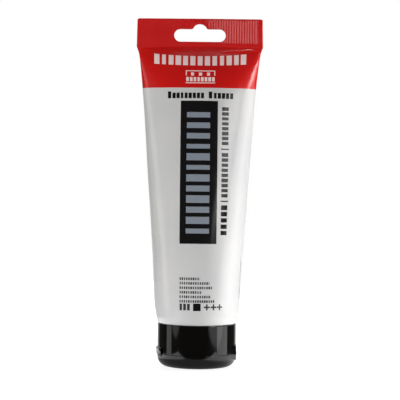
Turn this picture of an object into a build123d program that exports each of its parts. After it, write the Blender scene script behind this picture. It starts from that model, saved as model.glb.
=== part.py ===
"""A 250 ml plastic squeeze tube of paint, standing on its flip-top screw cap.

Row frame: origin at the centre of the lid's flat face, +Z up to the crimped end,
the printed front towards -Y, the lid's hinge at +X and its thumb tab at -X. Millimetres.
"""
import math
import os

from build123d import *

# Sleeve: half width and half depth of its oval section at each height
SLEEVE_WALL = 0.55
SLEEVE_SECTIONS = [
    (25.3, 22.6, 22.6),
    (27.2, 23.4, 23.4),
    (30.4, 24.1, 24.1),
    (38.2, 25.15, 25.1),
    (67.6, 26.9, 23.5),
    (97.0, 28.8, 21.1),
    (126.4, 30.8, 18.5),
    (150.0, 32.6, 15.7),
    (165.0, 33.8, 13.1),
    (175.0, 34.9, 8.9),
    (181.0, 35.7, 5.1),
    (186.0, 36.7, 1.3),
]

# Crimped band: the fused end of the sleeve, and the hang hole punched through it
BAND_BOTTOM = 185.6
BAND_TOP = 204.0
BAND_WIDTH = 74.5
BAND_THICKNESS = 1.3
BAND_CORNER = 0.9
HANG_SLOT_LENGTH = 30.3
HANG_SLOT_HEIGHT = 7.4
HANG_SLOT_Z = 194.1
HANG_BUMP_WIDTH = 8.8
HANG_BUMP_TOP = 200.8

# Cap: stack heights
LID_HEIGHT = 8.0
PARTING_Z = 8.1
DECK_FRONT_Z = 8.5
DECK_BACK_Z = 9.9
CAP_TOP_Z = 25.05
EDGE_FILLET = 0.25

# Cap: walls and rings
SKIRT_RADIUS = 22.9
SKIRT_WALL = 1.5
LID_RADIUS = 22.95
LID_WALL = 1.8
LID_CORNER = 6.0
COLLAR_RADIUS = 11.6
SNAP_RING_RADIUS = 20.7
SNAP_RING_WALL = 1.2
SNAP_RING_DEPTH = 1.9
NOZZLE_RADIUS = 4.4
NOZZLE_TIP_Z = 5.9
ORIFICE_RADIUS = 2.1
PLUG_ROOT_RADIUS = 1.95
PLUG_TIP_RADIUS = 1.6
PLUG_TIP_Z = 8.8
GUARD_RING_RADIUS = 5.9
GUARD_RING_WALL = 0.9
GUARD_RING_TOP_Z = 6.6

# Thumb tab, a lip that flares out of the lid, and its recess in the skirt; half angles about -X
TAB_HALF_ANGLE = 29.0
TAB_INNER_RADIUS = 22.45
TAB_OUTER_RADIUS = 23.85
TAB_TOP_Z = 11.2
TAB_FOOT_Z = 6.05
TAB_FLARE_DEPTH = 0.25
TAB_ROOT_DEPTH = 0.6
TAB_EDGE = 0.35
RECESS_HALF_ANGLE = 31.0
RECESS_RADIUS = 21.5
RECESS_TOP_Z = 12.0
RECESS_WALL = 1.3
RECESS_MARGIN = 4.0

# Living hinge
HINGE_FACE_X = 22.98
HINGE_FILM = 0.3
HINGE_FACE_HALF_WIDTH = 7.5
HINGE_ARCH_HALF_WIDTH = 14.0
HINGE_ARCH_RISE = 4.9
HINGE_ARCH_DROP = 4.2
HINGE_ROOT_X = 21.8
FILM_REACH = 1.1
FILM_INNER_Y = 2.6
FILM_OUTER_Y = 6.6
STRAP_HALF_WIDTH = 1.6
STRAP_REACH = 2.2

# Neck and screw thread (right-hand, one start)
NECK_RADIUS = 8.6
NECK_BORE_RADIUS = 6.0
NECK_MOUTH_Z = 11.2
THREAD_PITCH = 3.0
THREAD_TURNS = 2.0
THREAD_START_Z = 12.9
THREAD_DEPTH = 1.0
THREAD_ROOT_WIDTH = 1.2
THREAD_CREST_WIDTH = 0.6
THREAD_CLEARANCE = 0.25
THREAD_SINK = 0.15

# Tube head
HEAD_RIM_RADIUS = 21.95
HEAD_RIM_TOP_RADIUS = 22.7
HEAD_RIM_TOP_Z = 27.4
HEAD_RIM_BOTTOM_Z = 25.4
HEAD_NECK_Z = 22.8
HEAD_THICKNESS = 1.6

# Neck plug under the deck
PLUG_FLANGE_RADIUS = 8.3
PLUG_FLANGE_TOP_Z = 11.0
PLUG_OUTER_RADIUS = 5.85
PLUG_BORE_RADIUS = 4.8
PLUG_TOP_Z = 14.0
FACE_GAP = 0.1

# Paint
PAINT_TOP_Z = 181.0
PAINT_GAP = 0.15


def ring(outer, inner, bottom, top):
    """A round wall about the tube's axis."""
    wall = Cylinder(outer, top - bottom) - Cylinder(inner, top - bottom)
    return Pos(0, 0, (bottom + top) / 2) * wall


def disc(radius, bottom, top):
    return Pos(0, 0, (bottom + top) / 2) * Cylinder(radius, top - bottom)


def turned(points):
    """A solid of revolution about Z from a closed outline in the XZ plane."""
    return revolve(Plane.XZ * make_face(Polyline(*points, close=True)), Axis.Z)


def sector(radius, half_angle, bottom, top):
    """A wedge about -X, used to keep a piece to the tab's side of the cap."""
    far = 2 * radius
    spread = far * math.tan(math.radians(half_angle))
    outline = Polyline((0, 0), (-far, -spread), (-far, spread), close=True)
    return extrude(Pos(0, 0, bottom) * make_face(outline), top - bottom)


def oval_loft(sections, inset):
    """A smooth skin through the sleeve's sections, each drawn in by inset."""
    faces = [
        Pos(0, 0, z) * Ellipse(half_width - inset, half_depth - inset)
        for z, half_width, half_depth in sections
    ]
    return loft(faces)


def thread_ridge(root_radius, direction, start_z):
    """One helical ridge. direction is +1 outwards on the neck, -1 inwards in the collar."""
    foot = -direction * THREAD_SINK
    outline = Polyline(
        (foot, -THREAD_ROOT_WIDTH / 2),
        (direction * THREAD_DEPTH, -THREAD_CREST_WIDTH / 2),
        (direction * THREAD_DEPTH, THREAD_CREST_WIDTH / 2),
        (foot, THREAD_ROOT_WIDTH / 2),
        close=True,
    )
    path = Helix(THREAD_PITCH, THREAD_PITCH * THREAD_TURNS, root_radius)
    start = Plane(origin=path @ 0, x_dir=(1, 0, 0), z_dir=path % 0)
    ridge = sweep(start * make_face(outline), path=path, is_frenet=True)
    return Pos(0, 0, start_z) * ridge


def hang_hole():
    """A slot with rounded ends and a round-shouldered bump over its middle."""
    slot = SlotOverall(HANG_SLOT_LENGTH, HANG_SLOT_HEIGHT)
    bump_height = HANG_BUMP_TOP - HANG_SLOT_Z
    bump_radius = HANG_BUMP_WIDTH / 2
    bump = Pos(0, bump_height - bump_radius) * Circle(bump_radius)
    neck = Pos(0, (bump_height - bump_radius) / 2) * Rectangle(HANG_BUMP_WIDTH, bump_height - bump_radius)
    outline = Plane.XZ * (slot + bump + neck)
    return Pos(0, 0, HANG_SLOT_Z) * extrude(outline, 5 * BAND_THICKNESS, both=True)


def tube_sleeve():
    skin = oval_loft(SLEEVE_SECTIONS, 0)
    hollow = oval_loft(SLEEVE_SECTIONS, SLEEVE_WALL)
    shell = skin - hollow
    height = BAND_TOP - BAND_BOTTOM
    band = Pos(0, 0, (BAND_TOP + BAND_BOTTOM) / 2) * Box(BAND_WIDTH, BAND_THICKNESS, height)
    band = fillet(band.edges().filter_by(Axis.Y), BAND_CORNER)
    return shell + band - hang_hole()


def tube_shoulder():
    """The head: a shallow cone inside the sleeve's end, and the threaded neck below it."""
    head = turned(
        [
            (NECK_BORE_RADIUS, NECK_MOUTH_Z),
            (NECK_RADIUS, NECK_MOUTH_Z),
            (NECK_RADIUS, HEAD_NECK_Z),
            (HEAD_RIM_RADIUS, HEAD_RIM_BOTTOM_Z),
            (HEAD_RIM_TOP_RADIUS, HEAD_RIM_TOP_Z),
            (HEAD_RIM_TOP_RADIUS - HEAD_THICKNESS, HEAD_RIM_TOP_Z),
            (NECK_BORE_RADIUS, HEAD_NECK_Z + HEAD_THICKNESS),
        ]
    )
    return head + thread_ridge(NECK_RADIUS, 1, THREAD_START_Z)


def neck_seal_ring():
    bottom = DECK_BACK_Z + FACE_GAP
    flange = ring(PLUG_FLANGE_RADIUS, PLUG_BORE_RADIUS, bottom, PLUG_FLANGE_TOP_Z)
    plug = ring(PLUG_OUTER_RADIUS, PLUG_BORE_RADIUS, bottom, PLUG_TOP_Z)
    return flange + plug


def hinge_boss(bottom, top):
    """An arched pad over the parting line, with a flat face for the hinge films."""
    arch_x = math.sqrt(SKIRT_RADIUS**2 - HINGE_ARCH_HALF_WIDTH**2)
    plan = Polyline(
        (HINGE_ROOT_X, -HINGE_FACE_HALF_WIDTH),
        (arch_x, -HINGE_ARCH_HALF_WIDTH),
        (HINGE_FACE_X, -HINGE_FACE_HALF_WIDTH),
        (HINGE_FACE_X, HINGE_FACE_HALF_WIDTH),
        (arch_x, HINGE_ARCH_HALF_WIDTH),
        (HINGE_ROOT_X, HINGE_FACE_HALF_WIDTH),
        close=True,
    )
    pad = extrude(Pos(0, 0, bottom) * make_face(plan), top - bottom)
    reach = max(top - PARTING_Z, PARTING_Z - bottom)
    outline = Plane.YZ * Ellipse(reach, HINGE_ARCH_HALF_WIDTH, rotation=90)
    arch = extrude(Pos(0, 0, PARTING_Z) * outline, 2 * SKIRT_RADIUS)
    return pad & arch


def cap_base():
    skirt = disc(SKIRT_RADIUS, PARTING_Z, CAP_TOP_Z)
    skirt = fillet(skirt.edges().group_by(Axis.Z)[-1], EDGE_FILLET)
    skirt = skirt - disc(SKIRT_RADIUS - SKIRT_WALL, PARTING_Z - 1, CAP_TOP_Z + 1)
    deck = disc(SKIRT_RADIUS - SKIRT_WALL / 2, DECK_FRONT_Z, DECK_BACK_Z)
    snap_ring = ring(
        SNAP_RING_RADIUS,
        SNAP_RING_RADIUS - SNAP_RING_WALL,
        DECK_FRONT_Z - SNAP_RING_DEPTH,
        DECK_FRONT_Z,
    )
    nozzle = disc(NOZZLE_RADIUS, NOZZLE_TIP_Z, DECK_FRONT_Z)
    bore_radius = NECK_RADIUS + THREAD_DEPTH + THREAD_CLEARANCE
    collar_top = THREAD_START_Z + THREAD_PITCH * (THREAD_TURNS + 0.8)
    collar = ring(COLLAR_RADIUS, bore_radius, DECK_BACK_Z, collar_top)
    thread = thread_ridge(bore_radius, -1, THREAD_START_Z + THREAD_PITCH / 2)
    boss = hinge_boss(PARTING_Z, PARTING_Z + HINGE_ARCH_RISE)
    recess_back = ring(
        SKIRT_RADIUS - SKIRT_WALL / 2,
        RECESS_RADIUS - RECESS_WALL,
        DECK_FRONT_Z,
        RECESS_TOP_Z + RECESS_WALL,
    ) & sector(SKIRT_RADIUS, RECESS_HALF_ANGLE + RECESS_MARGIN, PARTING_Z, CAP_TOP_Z)
    recess = ring(2 * SKIRT_RADIUS, RECESS_RADIUS, PARTING_Z - 1, RECESS_TOP_Z) & sector(
        SKIRT_RADIUS, RECESS_HALF_ANGLE, PARTING_Z - 1, RECESS_TOP_Z
    )
    orifice = disc(ORIFICE_RADIUS, NOZZLE_TIP_Z - 1, DECK_BACK_Z + 1)
    body = skirt + deck + snap_ring + nozzle + collar + thread + boss + recess_back
    return body - recess - orifice


def thumb_tab():
    """A lip that flares out of the lid's side in a hollow curve and stands up past its rim."""
    root_radius = LID_RADIUS - TAB_ROOT_DEPTH
    flare = ThreePointArc(
        (LID_RADIUS, TAB_FOOT_Z),
        (LID_RADIUS + TAB_FLARE_DEPTH, (TAB_FOOT_Z + LID_HEIGHT) / 2),
        (TAB_OUTER_RADIUS, LID_HEIGHT),
    )
    lip = Polyline(
        (TAB_OUTER_RADIUS, LID_HEIGHT),
        (TAB_OUTER_RADIUS, TAB_TOP_Z - TAB_EDGE),
        (TAB_OUTER_RADIUS - TAB_EDGE, TAB_TOP_Z),
        (TAB_INNER_RADIUS, TAB_TOP_Z),
        (TAB_INNER_RADIUS, LID_HEIGHT),
        (root_radius, LID_HEIGHT),
        (root_radius, TAB_FOOT_Z),
        (LID_RADIUS, TAB_FOOT_Z),
    )
    whole = revolve(Plane.XZ * make_face(flare + lip), Axis.Z)
    return whole & sector(LID_RADIUS, TAB_HALF_ANGLE, 0, CAP_TOP_Z)


def cap_lid():
    blank = disc(LID_RADIUS, 0, LID_HEIGHT)
    blank = fillet(blank.edges().group_by(Axis.Z)[0], LID_CORNER)
    blank = fillet(blank.edges().group_by(Axis.Z)[-1], EDGE_FILLET)
    hollow = disc(LID_RADIUS - LID_WALL, LID_WALL, LID_HEIGHT + 1)
    hollow = fillet(hollow.edges().group_by(Axis.Z)[0], LID_CORNER - LID_WALL)
    guard = ring(GUARD_RING_RADIUS, GUARD_RING_RADIUS - GUARD_RING_WALL, LID_WALL, GUARD_RING_TOP_Z)
    pin_height = PLUG_TIP_Z - LID_WALL
    pin = Pos(0, 0, LID_WALL + pin_height / 2) * Cone(PLUG_ROOT_RADIUS, PLUG_TIP_RADIUS, pin_height)
    boss = hinge_boss(PARTING_Z - HINGE_ARCH_DROP, LID_HEIGHT)
    return blank - hollow + guard + pin + boss + thumb_tab()


def lid_hinge_films():
    """Two thin strips that bridge the parting line on the hinge's flat face."""
    width = FILM_OUTER_Y - FILM_INNER_Y
    centre_x = HINGE_FACE_X + HINGE_FILM / 2
    centre_y = (FILM_OUTER_Y + FILM_INNER_Y) / 2
    strip = Box(HINGE_FILM, width, 2 * FILM_REACH)
    return Compound(children=[Pos(centre_x, side * centre_y, PARTING_Z) * strip for side in (-1, 1)])


def lid_spring_strap():
    """The middle strip, longer than the films, so that it is stretched half way through the swing."""
    centre_x = HINGE_FACE_X + HINGE_FILM / 2
    return Pos(centre_x, 0, PARTING_Z) * Box(HINGE_FILM, 2 * STRAP_HALF_WIDTH, 2 * STRAP_REACH)


def paint_fill():
    """The paint: the sleeve's inside, drawn in a hair, and the column in the neck."""
    lowest = HEAD_RIM_TOP_Z + PAINT_GAP
    inset = SLEEVE_WALL + PAINT_GAP
    body = oval_loft(SLEEVE_SECTIONS, inset)
    body = body & (Pos(0, 0, (lowest + PAINT_TOP_Z) / 2) * Box(100, 100, PAINT_TOP_Z - lowest))
    column_radius = NECK_BORE_RADIUS - PAINT_GAP
    funnel = turned(
        [
            (0, PLUG_TOP_Z + PAINT_GAP),
            (column_radius, PLUG_TOP_Z + PAINT_GAP),
            (column_radius, HEAD_NECK_Z + HEAD_THICKNESS + PAINT_GAP),
            (HEAD_RIM_TOP_RADIUS - HEAD_THICKNESS, lowest),
            (0, lowest),
        ]
    )
    return body + funnel


PIECES = [
    tube_sleeve,
    tube_shoulder,
    neck_seal_ring,
    cap_base,
    cap_lid,
    lid_hinge_films,
    lid_spring_strap,
    paint_fill,
]

os.makedirs("parts", exist_ok=True)
for make_piece in PIECES:
    piece = make_piece()
    print(f"{make_piece.__name__}: {piece.volume / 1000:.2f} ml, valid {piece.is_valid}")
    export_step(piece, f"parts/{make_piece.__name__}.step")
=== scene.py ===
"""How the paint tube looks: its sleeve with crimp and print, glossy flip-top cap, paint and studio.

Lengths are millimetres in the row frame unless a comment says metres. MM turns them into metres where
a mesh, a light or the camera is made.
"""
import math

import bmesh
import bpy
from mathutils import Matrix, Vector, noise


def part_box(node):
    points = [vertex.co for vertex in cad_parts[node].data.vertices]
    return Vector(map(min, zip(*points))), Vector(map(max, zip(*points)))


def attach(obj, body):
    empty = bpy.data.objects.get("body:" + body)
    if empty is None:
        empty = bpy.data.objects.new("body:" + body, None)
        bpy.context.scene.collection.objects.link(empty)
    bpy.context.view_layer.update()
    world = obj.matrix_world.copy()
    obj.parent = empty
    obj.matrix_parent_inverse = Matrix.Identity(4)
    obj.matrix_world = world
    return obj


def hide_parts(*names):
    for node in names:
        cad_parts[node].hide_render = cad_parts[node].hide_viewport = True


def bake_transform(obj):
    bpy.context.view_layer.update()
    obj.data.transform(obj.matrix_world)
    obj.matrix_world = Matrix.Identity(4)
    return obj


MM = 0.001

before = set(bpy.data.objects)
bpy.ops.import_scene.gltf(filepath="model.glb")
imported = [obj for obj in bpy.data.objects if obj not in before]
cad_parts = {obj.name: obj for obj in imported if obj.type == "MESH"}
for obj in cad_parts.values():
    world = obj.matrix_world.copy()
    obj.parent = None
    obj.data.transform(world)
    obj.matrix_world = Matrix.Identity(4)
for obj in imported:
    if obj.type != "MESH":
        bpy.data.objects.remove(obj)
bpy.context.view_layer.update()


def node_box_mm(node):
    low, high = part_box(node)
    return low / MM, high / MM


SLEEVE_LOW, SLEEVE_HIGH = node_box_mm("tube_sleeve")

# ---------------------------------------------------------------- mesh helpers


def smoothstep(low, high, value):
    t = min(1.0, max(0.0, (value - low) / (high - low)))
    return t * t * (3 - 2 * t)


def rows_between(low, high, step):
    """Evenly spaced heights from low to high, about step apart."""
    count = max(1, round((high - low) / step))
    return [low + (high - low) * k / count for k in range(count + 1)]


def add_object(name, data):
    piece = bpy.data.objects.new(name, data)
    bpy.context.scene.collection.objects.link(piece)
    return piece


def finished_mesh(mesh, name):
    """Turns a bmesh into an object."""
    data = bpy.data.meshes.new(name)
    mesh.to_mesh(data)
    mesh.free()
    return add_object(name, data)


def close_strip(mesh, low, high):
    """Quads between two rings of as many points."""
    count = len(low)
    for k in range(count):
        mesh.faces.new((low[k], low[(k + 1) % count], high[(k + 1) % count], high[k]))


# ---------------------------------------------------------------- sleeve shape

SLEEVE_BOTTOM = SLEEVE_LOW.z
SLEEVE_WALL = 0.55

# Half width, half depth and side sharpness (0.5 is an ellipse, 1 a pointed lens) at each height
OUTLINE = [
    (SLEEVE_BOTTOM, 22.4, 22.4, 0.5),
    (26.6, 22.95, 22.95, 0.5),
    (29.6, 23.85, 23.85, 0.5),
    (38.2, 25.05, 25.0, 0.5),
    (67.6, 26.65, 23.4, 0.5),
    (97.0, 28.8, 21.1, 0.5),
    (126.4, 30.8, 18.5, 0.5),
    (150.0, 32.55, 15.7, 0.5),
    (165.0, 33.85, 12.9, 0.52),
    (175.0, 34.85, 8.9, 0.58),
    (181.0, 35.5, 5.3, 0.68),
    (184.4, 36.15, 2.6, 0.85),
    (186.8, 37.05, 0.8, 1.0),
]
# Mesh points are spaced by angle below the first height and evenly across above the second
SPACING_CHANGE = (150.0, 184.0)

# Unevenness of the filled sleeve: (height, wavelength across, wavelength up, place in the noise)
BROAD_WAVE = (0.28, 19, 34, Vector((3.1, 8.2, 5.7)))
FINE_WAVE = (0.05, 6, 14, Vector((9.4, 1.3, 2.2)))
WAVE_SETBACK = 0.06

# The fused flat band with its crimp
BAND_TOP = SLEEVE_HIGH.z
BAND_BOTTOM = BAND_TOP - 17.6
BAND_FIRST_ROW = BAND_BOTTOM + 0.9
BAND_HALF_WIDTH = SLEEVE_HIGH.x
BAND_HALF_THICKNESS = 0.45
BAND_TAPER = 0.3
BAND_CORNER = 0.9
BAND_CORNER_ROWS = 8
BAND_BOW = 0.5
BAND_LEAN = 0.25
RIB_PITCH = 1.53
RIB_HEIGHT = 0.36
RIB_RISE = 0.2
RIB_UNEVENNESS = 0.3
RIB_PLAIN_EDGE = 2.9
FAINTEST_RIB = 0.1

# The hang hole
HOLE_LENGTH = 30.3
HOLE_HEIGHT = 7.4
HOLE_CENTRE = BAND_TOP - 9.9
HOLE_BUMP_RADIUS = 4.4
HOLE_BUMP_TOP = BAND_TOP - 3.2
HOLE_FILLET = 1.2
PUNCH_REACH = 4.0

# Pressed folds: start x, end x, start and end height over BAND_BOTTOM, how far they stand out, half width
FOLDS = [
    (13.0, 35.0, -2.3, -0.7, 0.36, 0.5),
    (18.0, 34.0, -3.9, -3.1, 0.08, 0.5),
    (-33.6, -27.0, -0.9, -1.0, 0.22, 0.45),
    (-34.4, -25.0, -2.6, -2.8, 0.18, 0.45),
]

# The print was laid on the flat sleeve, so it sags where the front slopes in
PRINT_SAG_START = 158.3
PRINT_SAG_SLOPE = 0.135
PRINT_UNIT = 100.0

# Fineness of the mesh
AROUND = 360
BAND_FINENESS = 4
ROW_STEP = 1.0
FOLD_ROW_STEP = 0.4
FINE_FOLD_ROW_STEP = FOLD_ROW_STEP / 3
BAND_ROW_STEP = 0.45
INNER_ROW_STEP = 3.0
EDGE_TOLERANCE = 1e-6
# A face whose corners are further apart than this, round the sleeve, crosses the print's join
WRAP_GAP = 60.0


def outline_at(z):
    """Half width, half depth and side sharpness at height z, by a smooth curve through OUTLINE."""
    heights = [row[0] for row in OUTLINE]
    z = min(max(z, heights[0]), heights[-1])
    index = max(0, min(len(heights) - 2, sum(h <= z for h in heights) - 1))
    low, high = heights[index], heights[index + 1]
    t = (z - low) / (high - low)
    values = []
    for column in (1, 2, 3):
        ends = [OUTLINE[index][column], OUTLINE[index + 1][column]]
        slopes = []
        for k in (index, index + 1):
            before, after = max(0, k - 1), min(len(heights) - 1, k + 1)
            rise = OUTLINE[after][column] - OUTLINE[before][column]
            slopes.append(rise / (heights[after] - heights[before]) * (high - low))
        values.append(
            (2 * t**3 - 3 * t**2 + 1) * ends[0]
            + (t**3 - 2 * t**2 + t) * slopes[0]
            + (3 * t**2 - 2 * t**3) * ends[1]
            + (t**3 - t**2) * slopes[1]
        )
    return values


def around_point(u, z, inset=0.0):
    """A point of the sleeve's skin. u runs from 0 at -X over the front to 0.5 at +X and back."""
    half_width, half_depth, sharpness = outline_at(z)
    half_width -= inset
    half_depth = max(half_depth - inset, 0.05)
    front = u <= 0.5
    along = u if front else 1.0 - u
    even = smoothstep(*SPACING_CHANGE, z)
    x = (1 - even) * -math.cos(2 * math.pi * along) + even * (4 * along - 1)
    x = max(-1.0, min(1.0, x))
    depth = half_depth * (1 - x * x) ** sharpness
    return Vector((x * half_width, -depth if front else depth, z))


def wave_at(point, wave):
    height, across, up, place = wave
    return height * noise.noise(Vector((point.x / across, point.y / across, point.z / up)) + place)


def hand_made(point):
    """Slight unevenness of a filled soft sleeve, which fades towards the cap and the crimp."""
    fade = smoothstep(SLEEVE_BOTTOM + 4, SLEEVE_BOTTOM + 30, point.z)
    fade *= 1 - smoothstep(BAND_BOTTOM - 8, BAND_BOTTOM, point.z)
    return fade * (wave_at(point, BROAD_WAVE) + wave_at(point, FINE_WAVE) - WAVE_SETBACK)


def rib_strength(x, z):
    """How clearly the crimp shows: strong on the right, and elsewhere only near its top and bottom rows."""
    right = smoothstep(4.0, 8.0, x + 0.5 * (z - HOLE_CENTRE))
    top = 0.8 * smoothstep(BAND_TOP - 5.5, BAND_TOP - 2.0, z) * smoothstep(-16.0, 3.0, x)
    corner = 0.45 * smoothstep(BAND_TOP - 4.5, BAND_TOP - 2.0, z) * (1 - smoothstep(-28.0, -24.0, x))
    below = smoothstep(-10.0, -6.0, x) * (1 - smoothstep(HOLE_CENTRE - 4.6, HOLE_CENTRE - 3.8, z))
    return max(right, top, corner, 0.85 * below, FAINTEST_RIB)


def rib_depth(x, z):
    """Height of the crimp's fine vertical ribs. Each has a long flank facing +X and a short one."""
    rows = smoothstep(BAND_BOTTOM + 2.4, BAND_BOTTOM + 3.2, z)
    rows *= 1 - smoothstep(BAND_TOP - 0.8, BAND_TOP - 0.3, z)
    plain = BAND_HALF_WIDTH - RIB_PLAIN_EDGE
    sides = smoothstep(-plain, -plain + 0.8, x) * (1 - smoothstep(plain - 0.8, plain, x))
    uneven = 1 + RIB_UNEVENNESS * noise.noise(Vector((x / 2.3, 0.0, z / 12)))
    along = (x / RIB_PITCH) % 1.0
    flank = along / RIB_RISE if along < RIB_RISE else (1 - along) / (1 - RIB_RISE)
    return RIB_HEIGHT * rows * sides * rib_strength(x, z) * uneven * flank


def band_bow(x, z):
    """The fused band isn't quite flat: it leans and bows a little."""
    across = x / BAND_HALF_WIDTH
    bow = BAND_BOW * across * across - BAND_LEAN * across
    return bow * smoothstep(BAND_BOTTOM - 14, BAND_TOP, z)


def folds(x, z, front):
    """Small pressed ridges under the crimp, where the sleeve starts to open."""
    if not front:
        x = -x
    total = 0.0
    for x_low, x_high, z_low, z_high, height, half_width in FOLDS:
        along = (x - x_low) / (x_high - x_low)
        ends = smoothstep(-0.1, 0.25, along) * (1 - smoothstep(0.85, 1.1, along))
        arch = z_low + (z_high - z_low) * math.sin(math.pi / 2 * min(1.0, max(0.0, along)))
        away = (z - BAND_BOTTOM - arch) / half_width
        total += height * ends * math.exp(-away * away)
    return total


def band_point(u, z):
    """A point of the fused band's skin. u runs as in around_point."""
    front = u <= 0.5
    along = u if front else 1.0 - u
    side = 4 * along - 1
    half_width = BAND_HALF_WIDTH - BAND_TAPER * (z - BAND_BOTTOM) / (BAND_TOP - BAND_BOTTOM)
    corner = BAND_TOP - z
    if corner < BAND_CORNER:
        half_width -= BAND_CORNER - math.sqrt(max(0.0, BAND_CORNER**2 - (BAND_CORNER - corner) ** 2))
    x = side * half_width
    edge = half_width - abs(x)
    round_off = math.sqrt(min(1.0, max(0.0, edge / BAND_HALF_THICKNESS)))
    depth = BAND_HALF_THICKNESS * round_off + rib_depth(x, z)
    if edge < EDGE_TOLERANCE:
        depth = 0.0
    return Vector((x, (-depth if front else depth) + band_bow(x, z), z))


def print_height(point):
    """The height of the print at this point on the flat sleeve: it has sunk where the front slopes in."""
    half_width = outline_at(min(point.z, BAND_BOTTOM))[0]
    across = min(1.0, abs(point.x) / half_width)
    sag = PRINT_SAG_SLOPE * max(0.0, min(point.z, BAND_BOTTOM) - PRINT_SAG_START)
    return point.z + sag * (1 - across * across)


def skin_point(u, z, inset=0.0):
    """A point of the sleeve's skin with its unevenness, folds and lean, drawn in by inset."""
    point = around_point(u, z, inset)
    point += Vector((point.x, point.y, 0)).normalized() * hand_made(point)
    front = point.y < 0
    ridge = folds(point.x, z, front)
    point.y += (-ridge if front else ridge) + band_bow(point.x, z)
    return point


def make_sleeve():
    """The printed sleeve: outer skin, crimped band and inner wall, with the flat print's UVs."""
    mesh = bmesh.new()
    uv_layer = mesh.loops.layers.uv.new("print")
    place = {}

    def ring(points):
        """Adds a ring and notes how far round each point is from the front's middle."""
        count = len(points)
        arcs = [0.0]
        for k in range(count):
            arcs.append(arcs[k] + (points[(k + 1) % count] - points[k]).length)
        middle = arcs[count // 4]
        verts = []
        for k, point in enumerate(points):
            vert = mesh.verts.new(point * MM)
            place[vert] = (arcs[k] - middle, print_height(point), arcs[-1])
            verts.append(vert)
        return verts

    def fold_flat(loop, from_above):
        """Closes a ring across its thin way, front point to back point."""
        count = len(loop)
        for k in range(count // 2):
            corners = [loop[k], loop[k + 1], loop[(count - k - 1) % count], loop[(count - k) % count]]
            corners = list(dict.fromkeys(corners))
            mesh.faces.new(corners if from_above else corners[::-1])

    body_heights = rows_between(SLEEVE_BOTTOM, 34.0, FOLD_ROW_STEP)
    body_heights += rows_between(34.0, 170.0, ROW_STEP)[1:]
    body_heights += rows_between(170.0, 181.0, FOLD_ROW_STEP)[1:]
    body_heights += rows_between(181.0, OUTLINE[-1][0], FINE_FOLD_ROW_STEP)[1:]
    outer = [ring([skin_point(k / AROUND, z) for k in range(AROUND)]) for z in body_heights]
    for low, high in zip(outer, outer[1:]):
        close_strip(mesh, low, high)

    fine = AROUND * BAND_FINENESS
    band_heights = rows_between(BAND_FIRST_ROW, BAND_TOP - BAND_CORNER, BAND_ROW_STEP)
    for k in range(1, BAND_CORNER_ROWS + 1):
        turn = math.pi / 2 * k / BAND_CORNER_ROWS
        band_heights.append(BAND_TOP - BAND_CORNER * (1 - math.sin(turn)))
    band = [ring([band_point(k / fine, z) for k in range(fine)]) for z in band_heights]
    low, high = outer[-1], band[0]
    for k in range(AROUND):
        upper = [high[(k * BAND_FINENESS + j) % fine] for j in range(BAND_FINENESS, -1, -1)]
        mesh.faces.new([low[k], low[(k + 1) % AROUND], *upper])
    for low, high in zip(band, band[1:]):
        close_strip(mesh, low, high)
    fold_flat(band[-1], from_above=True)

    inner_heights = rows_between(SLEEVE_BOTTOM, BAND_BOTTOM - 3.0, INNER_ROW_STEP)
    inner = [ring([skin_point(k / AROUND, z, SLEEVE_WALL) for k in range(AROUND)]) for z in inner_heights]
    for low, high in zip(inner, inner[1:]):
        close_strip(mesh, high, low)
    close_strip(mesh, inner[0], outer[0])
    fold_flat(inner[-1], from_above=False)

    for face in mesh.faces:
        face.smooth = True
        arcs = [place[loop.vert][0] for loop in face.loops]
        wraps = max(arcs) - min(arcs) > WRAP_GAP
        for loop in face.loops:
            arc_length, height, whole_length = place[loop.vert]
            if wraps and arc_length < 0:
                arc_length += whole_length
            loop[uv_layer].uv = (arc_length / PRINT_UNIT, height / PRINT_UNIT)
    return finished_mesh(mesh, "tube_sleeve_skin")


def arc(centre_x, centre_z, radius, start, end, steps):
    """Points on a circle in X and Z. Angles are in degrees, from +X towards +Z."""
    points = []
    for k in range(steps + 1):
        angle = math.radians(start + (end - start) * k / steps)
        points.append((centre_x + radius * math.cos(angle), centre_z + radius * math.sin(angle)))
    return points


def hole_outline():
    """The hang hole in X and Z: a slot with round ends and a round bump over its middle."""
    end_radius = HOLE_HEIGHT / 2
    straight = HOLE_LENGTH / 2 - end_radius
    ceiling = HOLE_CENTRE + end_radius
    bump_z = HOLE_BUMP_TOP - HOLE_BUMP_RADIUS
    rise = ceiling + HOLE_FILLET - bump_z
    reach = HOLE_BUMP_RADIUS + HOLE_FILLET
    fillet_x = math.sqrt(reach**2 - rise**2)
    tilt = math.degrees(math.atan2(rise, fillet_x))
    points = arc(straight, HOLE_CENTRE, end_radius, -90, 90, 32)
    points += arc(fillet_x, ceiling + HOLE_FILLET, HOLE_FILLET, -90, -180 + tilt, 8)
    points += arc(0.0, bump_z, HOLE_BUMP_RADIUS, tilt, 180 - tilt, 40)
    points += arc(-fillet_x, ceiling + HOLE_FILLET, HOLE_FILLET, -tilt, -90, 8)
    points += arc(-straight, HOLE_CENTRE, end_radius, 90, 270, 32)
    return points


def punch_hole(sleeve):
    mesh = bmesh.new()
    outline = hole_outline()
    front = [mesh.verts.new(Vector((x, -PUNCH_REACH, z)) * MM) for x, z in outline]
    back = [mesh.verts.new(Vector((x, PUNCH_REACH, z)) * MM) for x, z in outline]
    close_strip(mesh, front, back)
    mesh.faces.new(front[::-1])
    mesh.faces.new(back)
    bmesh.ops.recalc_face_normals(mesh, faces=mesh.faces)
    punch = finished_mesh(mesh, "punch")
    cut = sleeve.modifiers.new("hang_hole", "BOOLEAN")
    cut.object = punch
    cut.solver = "EXACT"
    bake_modifiers(sleeve)
    bpy.data.objects.remove(punch)


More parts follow.
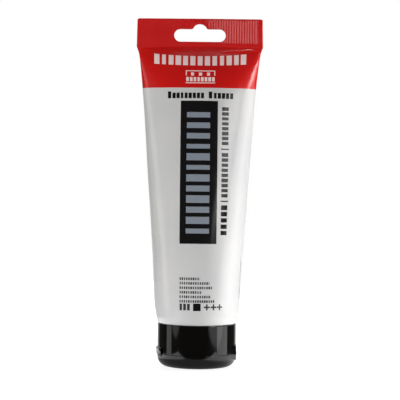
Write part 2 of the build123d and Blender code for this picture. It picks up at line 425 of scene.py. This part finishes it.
def bake_modifiers(piece):
    graph = bpy.context.evaluated_depsgraph_get()
    graph.update()
    data = bpy.data.meshes.new_from_object(piece.evaluated_get(graph))
    piece.modifiers.clear()
    piece.data = data


def colour_cut_edges(sleeve):
    """The hole's wall and the band's rim show the bare plastic under the print."""
    for face in sleeve.data.polygons:
        edge_on = abs(face.normal.y) < 0.25
        in_band = face.center.z > BAND_BOTTOM * MM
        if edge_on and in_band:
            face.material_index = 1
            face.use_smooth = False


# ---------------------------------------------------------------- paint and hinge shapes

PAINT_GAP = 0.15
PAINT_TOP = 181.0
PAINT_AROUND = 160
BORE_RADIUS = 6.0
PLUG_TOP = 14.0
COLUMN_STEP = 3.4
CONE_BOTTOM = 24.55
CONE_TOP = 27.55
CONE_RADIUS = 21.1
CONE_ROWS = 5
STRIP_STEPS = 28
STRIP_SIDES = 10
STRIP_LIP = 0.03


def make_paint():
    """The paint fills the sleeve's inside and the neck's bore, a hair inside their walls."""
    mesh = bmesh.new()

    def ring(points):
        return [mesh.verts.new(point * MM) for point in points]

    def circle(radius, z):
        turns = [2 * math.pi * k / PAINT_AROUND for k in range(PAINT_AROUND)]
        return [Vector((-radius * math.cos(a), -radius * math.sin(a), z)) for a in turns]

    column = BORE_RADIUS - PAINT_GAP
    rings = [ring(circle(column * f, PLUG_TOP + PAINT_GAP)) for f in (0.35, 0.7, 1.0)]
    rings += [ring(circle(column, PLUG_TOP + COLUMN_STEP * k)) for k in (1, 2, 3)]
    for k in range(CONE_ROWS + 1):
        part = k / CONE_ROWS
        radius = column + part * (CONE_RADIUS - column)
        rings.append(ring(circle(radius, CONE_BOTTOM + part * (CONE_TOP - CONE_BOTTOM))))
    for z in rows_between(CONE_TOP + 0.3, PAINT_TOP, 2.5):
        points = [skin_point(k / PAINT_AROUND, z, SLEEVE_WALL + PAINT_GAP) for k in range(PAINT_AROUND)]
        rings.append(ring(points))
    for low, high in zip(rings, rings[1:]):
        close_strip(mesh, low, high)
    mesh.faces.new(rings[0][::-1])
    mesh.faces.new(rings[-1])
    for face in mesh.faces:
        face.smooth = True
    return finished_mesh(mesh, "paint_body")


def make_hinge_strip(name, node, spans, thinning):
    """Strips over the parting line, from the node's box. spans are their ranges of y."""
    low, high = node_box_mm(node)
    thickness = high.x - low.x
    mesh = bmesh.new()
    for y_low, y_high in spans:
        rows = []
        for k in range(STRIP_STEPS + 1):
            part = k / STRIP_STEPS
            z = high.z + part * (low.z - high.z)
            waist = 1 - thinning * math.sin(math.pi * part) ** 2
            ends = min(1.0, 6 * part, 6 * (1 - part))
            outer_x = low.x + thickness * waist * (0.35 + 0.65 * ends)
            across = [j / STRIP_SIDES for j in range(STRIP_SIDES + 1)]
            row = []
            for side in across:
                lip = STRIP_LIP * (smoothstep(0.0, 0.2, min(side, 1 - side)) - 1)
                row.append(mesh.verts.new(Vector((outer_x + lip, y_low + (y_high - y_low) * side, z)) * MM))
            for side in reversed(across):
                row.append(mesh.verts.new(Vector((low.x, y_low + (y_high - y_low) * side, z)) * MM))
            rows.append(row)
        for upper, lower in zip(rows, rows[1:]):
            close_strip(mesh, upper, lower)
        mesh.faces.new(rows[0])
        mesh.faces.new(rows[-1][::-1])
    bmesh.ops.recalc_face_normals(mesh, faces=mesh.faces)
    return finished_mesh(mesh, name)


# ---------------------------------------------------------------- node helpers


class Shader:
    """A short way to write a material's node tree."""

    def __init__(self, name):
        self.material = bpy.data.materials.new(name)
        self.material.use_nodes = True
        self.tree = self.material.node_tree
        self.bsdf = self.tree.nodes["Principled BSDF"]

    def node(self, kind, **settings):
        made = self.tree.nodes.new(kind)
        for key, value in settings.items():
            setattr(made, key, value)
        return made

    def link(self, source, target):
        self.tree.links.new(source, target)

    def plug(self, socket, value):
        if isinstance(value, bpy.types.NodeSocket):
            self.link(value, socket)
        else:
            socket.default_value = value

    def math(self, operation, a, b=0.0, c=0.0, clamp=False):
        made = self.node("ShaderNodeMath", operation=operation, use_clamp=clamp)
        for socket, value in zip(made.inputs, (a, b, c)):
            self.plug(socket, value)
        return made.outputs[0]

    def mix(self, factor, a, b):
        made = self.node("ShaderNodeMix", data_type="RGBA")
        self.plug(made.inputs["Factor"], factor)
        self.plug(made.inputs["A"], a)
        self.plug(made.inputs["B"], b)
        return made.outputs["Result"]

    def noise(self, scale, detail=3.0, distortion=0.0):
        made = self.node("ShaderNodeTexNoise")
        made.inputs["Scale"].default_value = scale
        made.inputs["Detail"].default_value = detail
        made.inputs["Distortion"].default_value = distortion
        self.link(self.position(), made.inputs["Vector"])
        return made.outputs["Fac"]

    def position(self):
        return self.node("ShaderNodeTexCoord").outputs["Object"]

    def ramp(self, value, low, high, to_low=0.0, to_high=1.0):
        made = self.node("ShaderNodeMapRange", interpolation_type="SMOOTHSTEP")
        for socket, setting in zip(made.inputs, (value, low, high, to_low, to_high)):
            self.plug(socket, setting)
        return made.outputs[0]

    def bump(self, height, strength, distance):
        made = self.node("ShaderNodeBump")
        made.inputs["Strength"].default_value = strength
        made.inputs["Distance"].default_value = distance
        self.link(height, made.inputs["Height"])
        self.link(made.outputs["Normal"], self.bsdf.inputs["Normal"])


def rgb(red, green, blue):
    """A linear colour from 0 to 255 screen values."""

    def linear(value):
        value /= 255
        return value / 12.92 if value <= 0.04045 else ((value + 0.055) / 1.055) ** 2.4

    return (linear(red), linear(green), linear(blue), 1.0)


# ---------------------------------------------------------------- print on the sleeve

# Heights and widths of the print, in mm up the flat sleeve and mm round it from the front's middle
RED_LINE = 162.5
INK_EDGE = 0.07
WORD_SPAN = (-27.4, 27.9)
WORD_ROW = (177.8, 184.5)
MARK_SPAN = (-8.0, 9.1)
MARK_ROW = (165.5, 174.3)
MARK_LEG_FOOT = 170.8
MARK_LINE = 0.6
HEADING_CAPITALS = (155.8, 160.0)
HEADING_SMALLS = (155.8, 159.2)
PANEL_SPAN = (-10.7, 10.9)
PANEL_ROW = (72.0, 154.4)
PANEL_WORD_SPAN = (-7.0, 6.4)
PANEL_WORD_ROW = (76.3, 149.2)
SIDE_SPAN = (13.4, 17.4)
SIDE_BAR_SPAN = (13.0, 17.8)
SIDE_BARS = (96.1, 126.1)
SIDE_BAR_HEIGHT = 0.7
# Bottom, top, number of blocks and seed of each word that runs up the side
SIDE_WORDS = [
    (76.5, 94.6, 5, 21.0),
    (98.2, 124.6, 9, 22.0),
    (128.4, 151.2, 8, 23.0),
]
SMALL_LEFT = -10.6
SMALL_TOP = 52.9
SMALL_LEADING = 2.56
SMALL_HEIGHT = 1.5
SMALL_PITCH = 1.3
SMALL_LENGTHS = (12.1, 17.6, 19.1, 13.2, 18.4, 20.7)
CODE_SPAN = (SMALL_LEFT, -3.8)
CODE_ROW = (34.2, 38.0)
SWATCH_SPAN = (-2.3, 2.1)
SWATCH_ROW = (33.9, 38.2)
PLUS_CENTRES = (5.6, 9.6, 13.5)
PLUS_HEIGHT = 36.05
PLUS_REACH = 1.75
PLUS_HALF_LINE = 0.45
EDGE_SPAN = (31.8, 33.2)
EDGE_ROW = (40.0, 62.0)


class Print(Shader):
    """Masks for ink on the sleeve. S is mm round from the front's middle line, T is mm up."""

    def __init__(self, name):
        super().__init__(name)
        uv = self.node("ShaderNodeUVMap", uv_map="print")
        split = self.node("ShaderNodeSeparateXYZ")
        self.link(uv.outputs["UV"], split.inputs[0])
        self.s = self.math("MULTIPLY", split.outputs["X"], PRINT_UNIT)
        self.t = self.math("MULTIPLY", split.outputs["Y"], PRINT_UNIT)

    def within(self, value, low, high):
        """1 between low and high, with an edge INK_EDGE wide."""
        middle, half = (low + high) / 2, (high - low) / 2
        distance = self.math("ABSOLUTE", self.math("SUBTRACT", value, middle))
        inside = self.math("SUBTRACT", half, distance)
        return self.math("MULTIPLY_ADD", inside, 1 / INK_EDGE, 0.5, clamp=True)

    def bar(self, span, row):
        """A plain rectangle, from its ranges of S and T."""
        return self.math("MULTIPLY", self.within(self.s, *span), self.within(self.t, *row))

    def union(self, masks):
        total = masks[0]
        for mask in masks[1:]:
            total = self.math("MAXIMUM", total, mask)
        return total

    def blocks(self, along, across, span, width, pitch, seed, fill=0.72, spread=0.2):
        """A row of plain blocks of uneven length, in place of a line of writing."""
        low, high = span
        cells = self.math("DIVIDE", self.math("SUBTRACT", along, low), pitch)
        index = self.math("FLOOR", cells)
        local = self.math("SUBTRACT", cells, index)
        random = self.node("ShaderNodeTexWhiteNoise", noise_dimensions="1D")
        self.link(self.math("ADD", index, seed), random.inputs["W"])
        length = self.math("MULTIPLY_ADD", random.outputs["Value"], spread, fill - spread / 2)
        distance = self.math("ABSOLUTE", self.math("SUBTRACT", local, 0.5))
        inside = self.math("SUBTRACT", self.math("MULTIPLY", length, 0.5), distance)
        block = self.math("MULTIPLY_ADD", inside, pitch / INK_EDGE, 0.5, clamp=True)
        row = self.math("MULTIPLY", self.within(along, low, high), self.within(across, *width))
        return self.math("MULTIPLY", row, block)

    def word(self, span, row, count, seed, fill, spread):
        """Blocks that run round the sleeve, count of them in the span."""
        pitch = (span[1] - span[0]) / count
        return self.blocks(self.s, self.t, span, row, pitch, seed, fill, spread)


def pale_print(ink):
    """The big word and the framed mark in the red end."""
    left, right = MARK_SPAN
    foot, top = MARK_ROW
    legs = (MARK_LEG_FOOT, top)
    return ink.union([
        ink.word(WORD_SPAN, WORD_ROW, 13, 3.0, 0.66, 0.26),
        ink.bar(MARK_SPAN, (top - MARK_LINE, top)),
        ink.bar(MARK_SPAN, (foot, foot + MARK_LINE)),
        ink.bar((left, left + MARK_LINE), legs),
        ink.bar((right - MARK_LINE, right), legs),
        ink.word((-6.4, 7.5), (170.7, 172.9), 3, 5.0, 0.36, 0.1),
        ink.word(MARK_SPAN, (166.8, 169.7), 8, 9.0, 0.7, 0.2),
    ])


def black_print(ink):
    """The heading, the panel, the words up its side and the swatch."""
    masks = [
        ink.word((-18.6, -16.2), HEADING_CAPITALS, 1, 1.0, 0.8, 0.0),
        ink.word((-15.9, 3.0), HEADING_SMALLS, 8, 2.0, 0.74, 0.22),
        ink.word((5.2, 7.7), HEADING_CAPITALS, 1, 1.0, 0.8, 0.0),
        ink.word((8.0, 20.2), HEADING_SMALLS, 5, 4.0, 0.74, 0.22),
        ink.bar(PANEL_SPAN, PANEL_ROW),
        ink.bar(SWATCH_SPAN, SWATCH_ROW),
    ]
    for low, high, count, seed in SIDE_WORDS:
        masks.append(ink.blocks(ink.t, ink.s, (low, high), SIDE_SPAN, (high - low) / count, seed))
    for foot in SIDE_BARS:
        masks.append(ink.bar(SIDE_BAR_SPAN, (foot, foot + SIDE_BAR_HEIGHT)))
    return ink.union(masks)


def small_print(ink):
    """Six small lines, the code and three plus signs."""
    masks = [ink.word(CODE_SPAN, CODE_ROW, 3, 71.0, 0.7, 0.1)]
    for line, length in enumerate(SMALL_LENGTHS):
        top = SMALL_TOP - SMALL_LEADING * line
        row = (top - SMALL_HEIGHT, top)
        span = (SMALL_LEFT, SMALL_LEFT + length)
        masks.append(ink.blocks(ink.s, ink.t, span, row, SMALL_PITCH, 31.0 + 7 * line, 0.66, 0.3))
    for middle in PLUS_CENTRES:
        wide = (middle - PLUS_REACH, middle + PLUS_REACH)
        narrow = (middle - PLUS_HALF_LINE, middle + PLUS_HALF_LINE)
        masks.append(ink.bar(wide, (PLUS_HEIGHT - PLUS_HALF_LINE, PLUS_HEIGHT + PLUS_HALF_LINE)))
        masks.append(ink.bar(narrow, (PLUS_HEIGHT - PLUS_REACH, PLUS_HEIGHT + PLUS_REACH)))
    return ink.union(masks)


def print_material():
    ink = Print("sleeve_print")
    cloud = ink.noise(35, 2)
    white = ink.mix(ink.ramp(cloud, 0.3, 0.7), rgb(204, 204, 204), rgb(210, 209, 207))
    red = ink.mix(ink.ramp(cloud, 0.25, 0.75), rgb(203, 19, 17), rgb(210, 24, 21))
    over_line = ink.math("SUBTRACT", ink.t, RED_LINE)
    red_mask = ink.math("MULTIPLY_ADD", over_line, 1 / INK_EDGE, 0.5, clamp=True)
    panel_pitch = (PANEL_WORD_ROW[1] - PANEL_WORD_ROW[0]) / 12
    panel_word = ink.blocks(ink.t, ink.s, PANEL_WORD_ROW, PANEL_WORD_SPAN, panel_pitch, 12.0, 0.58, 0.3)
    edge_row = ink.blocks(ink.t, ink.s, EDGE_ROW, EDGE_SPAN, SMALL_PITCH, 90.0, 0.6, 0.35)

    colour = ink.mix(red_mask, white, red)
    colour = ink.mix(pale_print(ink), colour, rgb(252, 225, 223))
    colour = ink.mix(black_print(ink), colour, rgb(19, 17, 18))
    colour = ink.mix(small_print(ink), colour, rgb(62, 60, 60))
    colour = ink.mix(ink.math("MULTIPLY", edge_row, 0.7), colour, rgb(70, 70, 72))
    colour = ink.mix(panel_word, colour, rgb(134, 142, 152))
    ink.link(colour, ink.bsdf.inputs["Base Color"])

    haze = ink.noise(90, 3)
    ink.link(ink.ramp(haze, 0.25, 0.75, 0.12, 0.18), ink.bsdf.inputs["Roughness"])
    ink.bsdf.inputs["Subsurface Weight"].default_value = 0.04
    ink.bsdf.inputs["Subsurface Radius"].default_value = (1.0, 0.9, 0.8)
    ink.bsdf.inputs["Subsurface Scale"].default_value = 0.0015
    ink.bump(ink.noise(450, 2), 0.04, 0.0001)
    return ink.material


# ---------------------------------------------------------------- plain materials


def bare_plastic():
    """The cut edge of the sleeve, where its own plastic shows."""
    plastic = Shader("sleeve_bare")
    grain = plastic.noise(1200, 2)
    colour = plastic.mix(grain, rgb(222, 221, 219), rgb(235, 234, 232))
    plastic.link(colour, plastic.bsdf.inputs["Base Color"])
    plastic.bsdf.inputs["Roughness"].default_value = 0.45
    plastic.bump(grain, 0.1, 0.0001)
    return plastic.material


def moulded(name, colour, lit_colour, roughness, roughness_spread):
    """Moulded plastic: faint mottling, a little handling haze and a fine moulded grain."""
    plastic = Shader(name)
    mottle = plastic.noise(60, 3)
    plastic.link(plastic.mix(mottle, colour, lit_colour), plastic.bsdf.inputs["Base Color"])
    haze = plastic.noise(140, 4, distortion=0.6)
    roughness_map = plastic.ramp(haze, 0.3, 0.75, roughness, roughness + roughness_spread)
    plastic.link(roughness_map, plastic.bsdf.inputs["Roughness"])
    plastic.bump(plastic.noise(1500, 2), 0.02, 0.00005)
    return plastic.material


def paint_material():
    paint = Shader("paint_wet")
    swirl = paint.noise(45, 4, distortion=1.2)
    colour = paint.mix(swirl, rgb(236, 236, 233), rgb(246, 246, 244))
    paint.link(colour, paint.bsdf.inputs["Base Color"])
    paint.bsdf.inputs["Roughness"].default_value = 0.22
    paint.bump(paint.noise(180, 3), 0.2, 0.0004)
    return paint.material


# ---------------------------------------------------------------- build

# Name, replaced node, ranges of y, how much thinner its middle is, and the half length that bends
HINGE_STRIPS = [
    ("hinge_films_bending", "lid_hinge_films", [(-6.6, -2.6), (2.6, 6.6)], 0.45, 0.75),
    ("spring_strap_bending", "lid_spring_strap", [(-1.6, 1.6)], 0.3, 1.7),
]


def build_sleeve():
    sleeve = make_sleeve()
    punch_hole(sleeve)
    sleeve.data.materials.append(print_material())
    sleeve.data.materials.append(bare_plastic())
    colour_cut_edges(sleeve)
    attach(sleeve, "tube")
    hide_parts("tube_sleeve")


def build_paint():
    paint = make_paint()
    paint.data.materials.append(paint_material())
    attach(paint, "tube")
    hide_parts("paint_fill")


def finish_cad(node, material):
    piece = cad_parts[node]
    piece.data.materials.clear()
    piece.data.materials.append(material)


def build_hinge(material):
    """Films and strap that reach from the cap to the lid."""
    for name, strip_node, spans, thinning, bend in HINGE_STRIPS:
        strip = make_hinge_strip(name, strip_node, spans, thinning)
        strip.data.materials.append(material)
        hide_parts(strip_node)
        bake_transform(strip)


# ---------------------------------------------------------------- studio

CAMERA_DISTANCE = 735.0
CAMERA_HEIGHT = 89.0
AIM = Vector((1.06, 0.0, 97.3))
CAMERA_ROLL = 0.63
LENS = 112.5
ROOM_LEVEL = 0.05
FLOOR_HALF_SIZE = 4000.0
FLOOR_HEIGHT = -0.1
FLOOR_COLOUR = 0.3
# The floor's glow under the cap, lowered there as a painted contact shadow, and how far out it rises and
# reaches full white, in metres
CONTACT_SHADE = 0.88
CONTACT_REACH = (0.02, 0.09)
TABLE_FRONT = 75.0
TABLE_SIDE = 90.0
TABLE_HEIGHT = -0.2
TABLE_COLOUR = 0.4
# The table's glow is painted light: dim near its middle as painted shade and brighter to the sides; the
# ranges are in metres
TABLE_MIDDLE_SHIFT = 0.008
TABLE_MIDDLE_REACH = (0.022, 0.05)
TABLE_MIDDLE_GLOW = 0.2
TABLE_SIDE_GLOW = 1.4


def make_camera():
    camera = bpy.data.cameras.new("camera")
    camera.lens = LENS
    camera.sensor_width = 36.0
    camera.clip_start = 0.01
    camera.clip_end = 20.0
    rig = add_object("camera", camera)
    place = Vector((0.0, -CAMERA_DISTANCE, CAMERA_HEIGHT))
    rig.location = place * MM
    look = (AIM - place).to_track_quat("-Z", "Y").to_matrix().to_4x4()
    roll = Matrix.Rotation(math.radians(CAMERA_ROLL), 4, "Z")
    rig.rotation_euler = (look @ roll).to_euler()
    bpy.context.scene.camera = rig


def softbox(
    name,
    azimuth,
    elevation,
    distance,
    width,
    height,
    radiance,
    target=(0, 0, 100),
    shape="RECTANGLE",
    glossy=True,
    diffuse=True,
):
    """A flat light facing the target. Azimuth 0 is the camera's side and 90 is +X."""
    lamp = bpy.data.lights.new(name, "AREA")
    lamp.shape = shape
    lamp.size = width * MM
    lamp.size_y = height * MM
    lamp.energy = radiance * math.pi * lamp.size * lamp.size_y
    box = add_object(name, lamp)
    turn, rise = math.radians(azimuth), math.radians(elevation)
    away = Vector((math.sin(turn) * math.cos(rise), -math.cos(turn) * math.cos(rise), math.sin(rise)))
    box.location = (Vector(target) + away * distance) * MM
    box.rotation_euler = (-away).to_track_quat("-Z", "Y").to_euler()
    box.visible_camera = False
    box.visible_glossy = glossy
    box.visible_diffuse = diffuse


def make_gloss_lights():
    """Softboxes that the glossy sleeve and cap mirror."""
    softbox("softbox_high_right", 79, 36, 760, 240, 560, 9.0, diffuse=False)
    softbox("softbox_low_right", 80.5, 0, 800, 560, 620, 1.9, diffuse=False)
    softbox("softbox_mid_right", 42, 14, 800, 320, 260, 2.4, diffuse=False)
    softbox("softbox_left", -88, 0, 800, 268, 700, 1.1)
    crimp = (0, 0, 185)
    softbox("softbox_above_right", 94, 65, 880, 110, 650, 26.0, crimp, diffuse=False)
    softbox("softbox_above_left", -94, 65, 880, 110, 650, 9.0, crimp, diffuse=False)
    softbox("softbox_back", 180, 0, 800, 1120, 700, 0.5, diffuse=False)
    softbox("wedge_right", 58, 0, 800, 746, 50, 0.8, (0, 0, -45), "ELLIPSE", diffuse=False)
    softbox("wedge_left", -64, 0, 800, 355, 36, 0.65, (0, 0, -40), "ELLIPSE", diffuse=False)


def make_fill_lights():
    """Soft light from all round, which nothing mirrors."""
    softbox("fill_front", -5, 0, 900, 700, 700, 2.5, glossy=False)
    softbox("fill_left", -78, 8, 800, 600, 700, 2.3, (0, 0, 80), glossy=False)
    softbox("fill_right", 100, 0, 800, 500, 700, 8.6, glossy=False)
    softbox("fill_back", 180, 5, 900, 700, 700, 3.0, glossy=False)
    softbox("fill_low", 35, -22, 700, 500, 300, 3.0, (0, 0, 60), glossy=False)


def add_plate(name, low, high, z):
    """A flat rectangle between two corners in X and Y."""
    data = bpy.data.meshes.new(name)
    corners = [(low[0], low[1]), (high[0], low[1]), (high[0], high[1]), (low[0], high[1])]
    data.from_pydata([Vector((x, y, z)) * MM for x, y in corners], [], [(0, 1, 2, 3)])
    return add_object(name, data)


def pale_material(name, colour):
    """A dull pale surface that can also glow, for the floor and the table."""
    pale = Shader(name)
    pale.bsdf.inputs["Base Color"].default_value = (colour, colour, colour, 1)
    pale.bsdf.inputs["Roughness"].default_value = 0.7
    pale.bsdf.inputs["Specular IOR Level"].default_value = 0.1
    pale.bsdf.inputs["Emission Color"].default_value = (1, 1, 1, 1)
    return pale


def make_floor():
    """What the camera sees: white, with a faint soft shadow right under the cap, partly cast on its dull
    surface and partly painted as a lower glow.
    """
    half = FLOOR_HALF_SIZE
    floor = add_plate("floor", (-half, -half), (half, half), FLOOR_HEIGHT)
    pale = pale_material("floor_white", FLOOR_COLOUR)
    away = pale.node("ShaderNodeVectorMath", operation="LENGTH")
    pale.link(pale.position(), away.inputs[0])
    glow = pale.ramp(away.outputs["Value"], *CONTACT_REACH, CONTACT_SHADE, 1.0)
    pale.link(glow, pale.bsdf.inputs["Emission Strength"])
    floor.data.materials.append(pale.material)
    floor.visible_diffuse = False
    floor.visible_glossy = False
    floor.visible_shadow = False


def make_table():
    """What the object mirrors: a small pale table top that glows as painted light, brighter at its sides
    than in front, where it is dimmed as painted shade.
    """
    table = add_plate("table", (-TABLE_SIDE, -TABLE_FRONT), (TABLE_SIDE, TABLE_SIDE), TABLE_HEIGHT)
    pale = pale_material("table_pale", TABLE_COLOUR)
    split = pale.node("ShaderNodeSeparateXYZ")
    pale.link(pale.position(), split.inputs[0])
    shifted = pale.math("ADD", split.outputs["X"], TABLE_MIDDLE_SHIFT)
    across = pale.math("ABSOLUTE", shifted)
    glow = pale.ramp(across, *TABLE_MIDDLE_REACH, TABLE_MIDDLE_GLOW, TABLE_SIDE_GLOW)
    pale.link(glow, pale.bsdf.inputs["Emission Strength"])
    table.data.materials.append(pale.material)
    table.visible_camera = False


def make_world():
    """White where the camera sees it, and a dark room for everything else."""
    world = bpy.data.worlds.new("studio")
    world.use_nodes = True
    tree = world.node_tree
    background = tree.nodes["Background"]
    background.inputs["Color"].default_value = (1, 1, 1, 1)
    path = tree.nodes.new("ShaderNodeLightPath")
    strength = tree.nodes.new("ShaderNodeMapRange")
    strength.inputs["To Min"].default_value = ROOM_LEVEL
    strength.inputs["To Max"].default_value = 1.0
    tree.links.new(path.outputs["Is Camera Ray"], strength.inputs["Value"])
    tree.links.new(strength.outputs[0], background.inputs["Strength"])
    bpy.context.scene.world = world


# ---------------------------------------------------------------- scene

build_sleeve()

cap_black = moulded("cap_black_gloss", rgb(5, 4, 3), rgb(9, 7, 6), 0.045, 0.035)
hinge_black = moulded("hinge_black_satin", rgb(14, 13, 12), rgb(20, 19, 18), 0.3, 0.1)
head_white = moulded("shoulder_white", rgb(214, 214, 210), rgb(226, 226, 222), 0.42, 0.1)
finish_cad("cap_base", cap_black)
finish_cad("cap_lid", cap_black)
finish_cad("neck_seal_ring", hinge_black)
finish_cad("tube_shoulder", head_white)

build_paint()
build_hinge(hinge_black)

make_camera()
make_world()
make_floor()
make_table()
make_gloss_lights()
make_fill_lights()
bpy.context.scene.view_settings.view_transform = "Standard"
